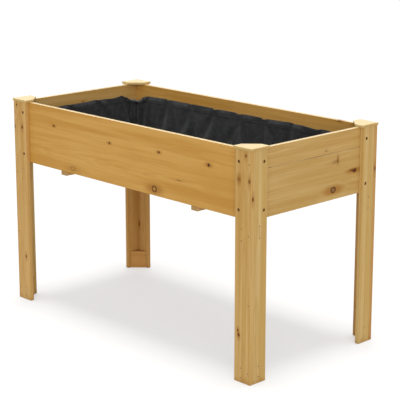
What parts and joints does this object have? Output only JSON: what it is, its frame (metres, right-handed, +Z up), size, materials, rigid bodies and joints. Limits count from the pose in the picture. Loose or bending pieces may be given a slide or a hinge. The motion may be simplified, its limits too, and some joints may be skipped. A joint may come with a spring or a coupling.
{
  "type": "raised planter",
  "caption": "Rectangular wooden planting box raised on L-section board legs with corner caps, slatted floor on battens and a fabric liner.",
  "frame": {"origin": "on the ground, under the middle of the planter", "axes": "+X along the length, +Y from the front long side to the back long side, +Z up"},
  "size_m": [1.214, 0.605, 0.762],
  "materials": {
    "leg_wood": "planed softwood, satin oil",
    "panel_wood": "planed softwood, satin oil",
    "cap_wood": "planed softwood, satin oil",
    "block_wood": "sawn softwood",
    "floor_wood": "sawn softwood",
    "batten_wood": "sawn softwood",
    "screw_steel": "dark coated steel",
    "liner_felt": "non-woven matte felt"
  },
  "bodies": {
    "root": {"leg_wide_board_front_right": "leg_wood", "leg_narrow_board_front_right": "leg_wood", "foot_block_front_right": "block_wood", "upper_block_front_right": "block_wood", "cap_front_right": "cap_wood", "leg_screw_front_right_long_lower": "screw_steel", "leg_screw_front_right_long_upper": "screw_steel", "leg_screw_front_right_short_lower": "screw_steel", "leg_screw_front_right_short_upper": "screw_steel", "leg_wide_board_front_left": "leg_wood", "leg_narrow_board_front_left": "leg_wood", "foot_block_front_left": "block_wood", "upper_block_front_left": "block_wood", "cap_front_left": "cap_wood", "leg_screw_front_left_long_lower": "screw_steel", "leg_screw_front_left_long_upper": "screw_steel", "leg_screw_front_left_short_lower": "screw_steel", "leg_screw_front_left_short_upper": "screw_steel", "leg_wide_board_back_right": "leg_wood", "leg_narrow_board_back_right": "leg_wood", "foot_block_back_right": "block_wood", "upper_block_back_right": "block_wood", "cap_back_right": "cap_wood", "leg_screw_back_right_long_lower": "screw_steel", "leg_screw_back_right_long_upper": "screw_steel", "leg_screw_back_right_short_lower": "screw_steel", "leg_screw_back_right_short_upper": "screw_steel", "leg_wide_board_back_left": "leg_wood", "leg_narrow_board_back_left": "leg_wood", "foot_block_back_left": "block_wood", "upper_block_back_left": "block_wood", "cap_back_left": "cap_wood", "leg_screw_back_left_long_lower": "screw_steel", "leg_screw_back_left_long_upper": "screw_steel", "leg_screw_back_left_short_lower": "screw_steel", "leg_screw_back_left_short_upper": "screw_steel", "long_panel_front": "panel_wood", "long_panel_back": "panel_wood", "short_panel_left_lower": "panel_wood", "short_panel_left_upper": "panel_wood", "short_panel_right_lower": "panel_wood", "short_panel_right_upper": "panel_wood", "floor_board_1": "floor_wood", "floor_board_2": "floor_wood", "floor_board_3": "floor_wood", "floor_board_4": "floor_wood", "floor_board_5": "floor_wood", "floor_batten_left": "batten_wood", "batten_screw_left_front": "screw_steel", "batten_screw_left_back": "screw_steel", "floor_batten_right": "batten_wood", "batten_screw_right_front": "screw_steel", "batten_screw_right_back": "screw_steel", "liner": "liner_felt"}
  },
  "joints": []
}
